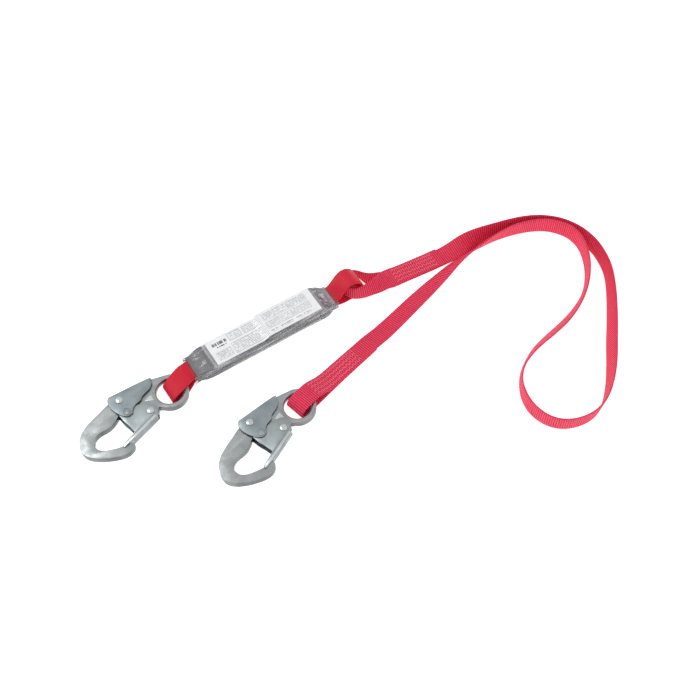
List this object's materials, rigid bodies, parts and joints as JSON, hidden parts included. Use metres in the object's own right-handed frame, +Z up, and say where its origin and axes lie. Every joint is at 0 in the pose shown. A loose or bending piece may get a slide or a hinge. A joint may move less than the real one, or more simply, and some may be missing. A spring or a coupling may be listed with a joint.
{
  "type": "shock absorbing lanyard",
  "caption": "Flat folded energy absorber pack with a red webbing leg and two double-locking snap hooks, laid out in a loose curve.",
  "frame": {"origin": "middle of the underside of the energy absorber pack, on the floor it lies on", "axes": "+X along the pack from the anchor hook towards the leg, +Y to the far side of the pack, +Z up"},
  "size_m": [0.6349, 0.3094, 0.0307],
  "materials": {
    "red_webbing": "ribbed polyester webbing",
    "grey_tear_web": "woven tear web",
    "clear_film": "clear shrink film",
    "white_label": "printed label under film",
    "zinc_plated_steel": "satin zinc plate",
    "spring_steel": "drawn wire"
  },
  "bodies": {
    "shock_pack": {"energy_web": "grey_tear_web", "backup_web": "grey_tear_web", "clear_sleeve": "clear_film", "label_main": "white_label", "label_notes": "white_label", "anchor_loop": "red_webbing", "link_loop": "red_webbing"},
    "leg": {"leg_webbing": "red_webbing"},
    "hook_1": {"hook_1_frame": "zinc_plated_steel", "hook_1_gate_rivet": "zinc_plated_steel", "hook_1_lock_rivet": "zinc_plated_steel", "hook_1_gate_spring": "spring_steel", "hook_1_lock_spring": "spring_steel"},
    "gate_1": {"hook_1_gate": "zinc_plated_steel"},
    "lock_1": {"hook_1_lock": "zinc_plated_steel"},
    "hook_2": {"hook_2_frame": "zinc_plated_steel", "hook_2_gate_rivet": "zinc_plated_steel", "hook_2_lock_rivet": "zinc_plated_steel", "hook_2_gate_spring": "spring_steel", "hook_2_lock_spring": "spring_steel"},
    "gate_2": {"hook_2_gate": "zinc_plated_steel"},
    "lock_2": {"hook_2_lock": "zinc_plated_steel"}
  },
  "joints": [
    {"name": "hook_1_swing", "type": "hinge", "parent": "shock_pack", "child": "hook_1", "pos_m": [-0.10695, -0.012, 0.0099], "axis": [0, 1, 0], "range_deg": [-12, 8]},
    {"name": "gate_1_open", "type": "hinge", "parent": "hook_1", "child": "gate_1", "pos_m": [-0.1545, -0.023, 0.0099], "axis": [0, 0, 1], "range_deg": [-20, 0], "stiffness_Nm_per_rad": 0.12, "springref_deg": 11.46},
    {"name": "lock_1_squeeze", "type": "hinge", "parent": "hook_1", "child": "lock_1", "pos_m": [-0.178, 0.0056, 0.0099], "axis": [0, 0, 1], "range_deg": [-6, 0], "stiffness_Nm_per_rad": 0.15, "springref_deg": 8.59},
    {"name": "leg_swing", "type": "hinge", "parent": "shock_pack", "child": "leg", "pos_m": [0.121, -0.0018, 0.0145], "axis": [0, 0, 1], "range_deg": [-4, 4]},
    {"name": "hook_2_swing", "type": "hinge", "parent": "leg", "child": "hook_2", "pos_m": [0.00153, -0.10178, 0.0099], "axis": [-0.1564, 0.9877, 0], "range_deg": [-10, 8]},
    {"name": "gate_2_open", "type": "hinge", "parent": "hook_2", "child": "gate_2", "pos_m": [-0.04372, -0.12008, 0.0099], "axis": [0, 0, 1], "range_deg": [-20, 0], "stiffness_Nm_per_rad": 0.12, "springref_deg": 11.46},
    {"name": "lock_2_squeeze", "type": "hinge", "parent": "hook_2", "child": "lock_2", "pos_m": [-0.0714, -0.09551, 0.0099], "axis": [0, 0, 1], "range_deg": [-6, 0], "stiffness_Nm_per_rad": 0.15, "springref_deg": 8.59}
  ]
}
